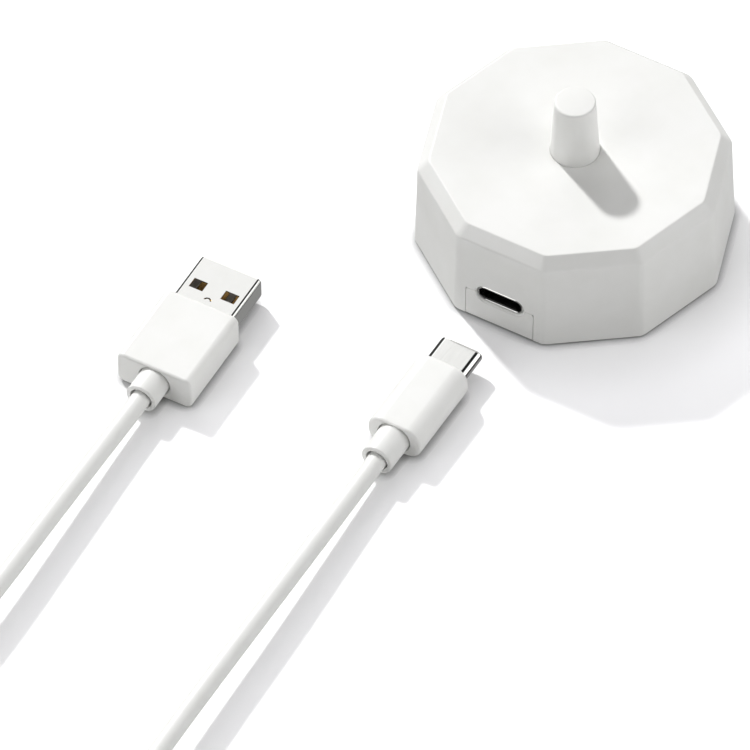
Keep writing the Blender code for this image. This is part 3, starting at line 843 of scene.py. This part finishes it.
# table, lights and surroundings
studio = {
    "keyAzimuth": 150.5, "keyElevation": 39.0, "keyStrength": 2.83, "keyAngle": 4.0,
    "tableHalf": 30.0,                  # m, so far out that its edge never shows
    "tableAlbedo": 0.95, "bounceAlbedo": 0.8, "bounceDrop": 0.5,
    # painted light: the table glows, which lifts the shadows on it; only the camera sees the glow
    "paintedTableGlow": 0.365, "paintedGlowTint": (0.985, 0.975, 1.02, 1.0),
    "paintedShadeReach": 14.0, "paintedShadeFall": 2.1,      # painted shade: a standing part dims the painted glow this many mm out, this steeply
    "paintedContactReach": 1.8, "paintedContactShade": 0.3, # and painted shade darkens the table's colour close to its foot
    # brightness of the surroundings by height, from straight down (0) to straight up (1)
    "heights": [(0.0, 0.28), (0.26, 0.28), (0.37, 0.05), (0.64, 0.05), (0.72, 0.03), (1.0, 0.03)],
    # bright and dark panels round the table: azimuth, elevation, half-width in degrees, softness, level
    "panels": [
        (-125.0, 26.0, 24.0, 10.0, 1.85),
        (-60.0, 34.0, 24.0, 10.0, 0.22),
        (14.0, 26.0, 24.0, 10.0, 2.4),
        (116.0, 31.0, 19.5, 2.0, 1.35),
        (124.0, 54.0, 15.0, 3.0, 1.06),
        (88.0, 55.0, 18.5, 2.0, 0.02),
        (48.0, 37.0, 10.5, 2.0, 1.35),
        (0.0, 90.0, 12.0, 4.0, 0.6),
    ],
}


def sheet(name, z, half):
    mesh = bmesh.new()
    bmesh.ops.create_grid(mesh, x_segments=1, y_segments=1, size=half)
    mesh.transform(Matrix.Translation((0.0, 0.0, z)))
    data = bpy.data.meshes.new(name)
    mesh.to_mesh(data)
    mesh.free()
    obj = bpy.data.objects.new(name, data)
    scene.collection.objects.link(obj)
    made = bpy.data.materials.new(name)
    made.use_nodes = True
    data.materials.append(made)
    shader = made.node_tree.nodes["Principled BSDF"]
    shader.inputs["Roughness"].default_value = 0.9
    shader.inputs["Specular IOR Level"].default_value = 0.1
    return obj, made.node_tree, shader


def makeTable(s):
    # the table top as the camera sees it: its glow is painted light that lifts the shadows on it, dimmed
    # round each part that stands on it into painted shade, and its colour is darkened by painted shade close
    # to each foot
    top, tree, shader = sheet("table", 0.0, s["tableHalf"])
    top.visible_glossy = top.visible_diffuse = top.visible_shadow = False
    near = addNode(tree, "AmbientOcclusion", {"Distance": s["paintedContactReach"] * mm}, samples=8)
    wide = addNode(tree, "AmbientOcclusion", {"Distance": s["paintedShadeReach"] * mm}, samples=8)
    # painted shade: the table's colour darkens where something stands close by
    dark, white = s["paintedContactShade"], s["tableAlbedo"]
    colour = addNode(tree, "MapRange", {"From Min": dark, "To Min": dark * white, "To Max": white},
                     {"Value": near.outputs["AO"]})
    tree.links.new(colour.outputs[0], shader.inputs["Base Color"])
    # painted light: the glow, dimmed into painted shade where something stands close by
    steep = addNode(tree, "Math", {1: s["paintedShadeFall"]}, {0: wide.outputs["AO"]}, operation="POWER")
    glow = addNode(tree, "Math", {1: s["paintedTableGlow"]}, {0: steep.outputs[0]}, operation="MULTIPLY")
    shader.inputs["Emission Color"].default_value = s["paintedGlowTint"]
    tree.links.new(glow.outputs[0], shader.inputs["Emission Strength"])
    # what the parts are lit by from below: the same surface, without the glow
    under, _, shader = sheet("tableBounce", -s["bounceDrop"] * mm, s["tableHalf"])
    under.visible_camera = under.visible_glossy = False
    shader.inputs["Base Color"].default_value = (*[s["bounceAlbedo"]] * 3, 1.0)


def makeLights(s):
    sun = bpy.data.lights.new("key", "SUN")
    sun.energy = s["keyStrength"]
    sun.angle = math.radians(s["keyAngle"])
    lamp = bpy.data.objects.new("key", sun)
    lamp.rotation_mode = "QUATERNION"
    lamp.rotation_quaternion = directionAt(s["keyAzimuth"], s["keyElevation"]).to_track_quat("Z", "Y")
    scene.collection.objects.link(lamp)


def makeWorld(s):
    world = bpy.data.worlds.new("studio")
    world.use_nodes = True
    scene.world = world
    tree = world.node_tree
    where = addNode(tree, "TexCoord").outputs["Generated"]
    height = addNode(tree, "SeparateXYZ", links={0: where}).outputs["Z"]
    share = addNode(tree, "MapRange", {"From Min": -1.0, "From Max": 1.0}, {"Value": height})
    ramp = addNode(tree, "ValToRGB", links={0: share.outputs[0]})
    stops = ramp.color_ramp.elements
    for i, (at, value) in enumerate(s["heights"]):
        stop = stops[i] if i < 2 else stops.new(at)
        stop.position, stop.color = at, (value, value, value, 1.0)
    level = ramp.outputs["Color"]
    for azimuth, elevation, half, soft, value in s["panels"]:
        middle = directionAt(azimuth, elevation)
        near = addNode(tree, "VectorMath", {1: middle}, {0: where}, operation="DOT_PRODUCT")
        inside = addNode(tree, "MapRange", {
            "From Min": math.cos(math.radians(half + soft)), "From Max": math.cos(math.radians(half - soft)),
        }, {"Value": near.outputs["Value"]}, interpolation_type="SMOOTHSTEP")
        mix = addNode(tree, "Mix", {3: value}, {0: inside.outputs[0], 2: level}, data_type="FLOAT")
        level = mix.outputs[0]
    tree.links.new(level, tree.nodes["Background"].inputs["Strength"])
    tree.nodes["Background"].inputs["Color"].default_value = (1.0, 1.0, 1.0, 1.0)


makeTable(studio)
makeLights(studio)
makeWorld(studio)
print("studio made")
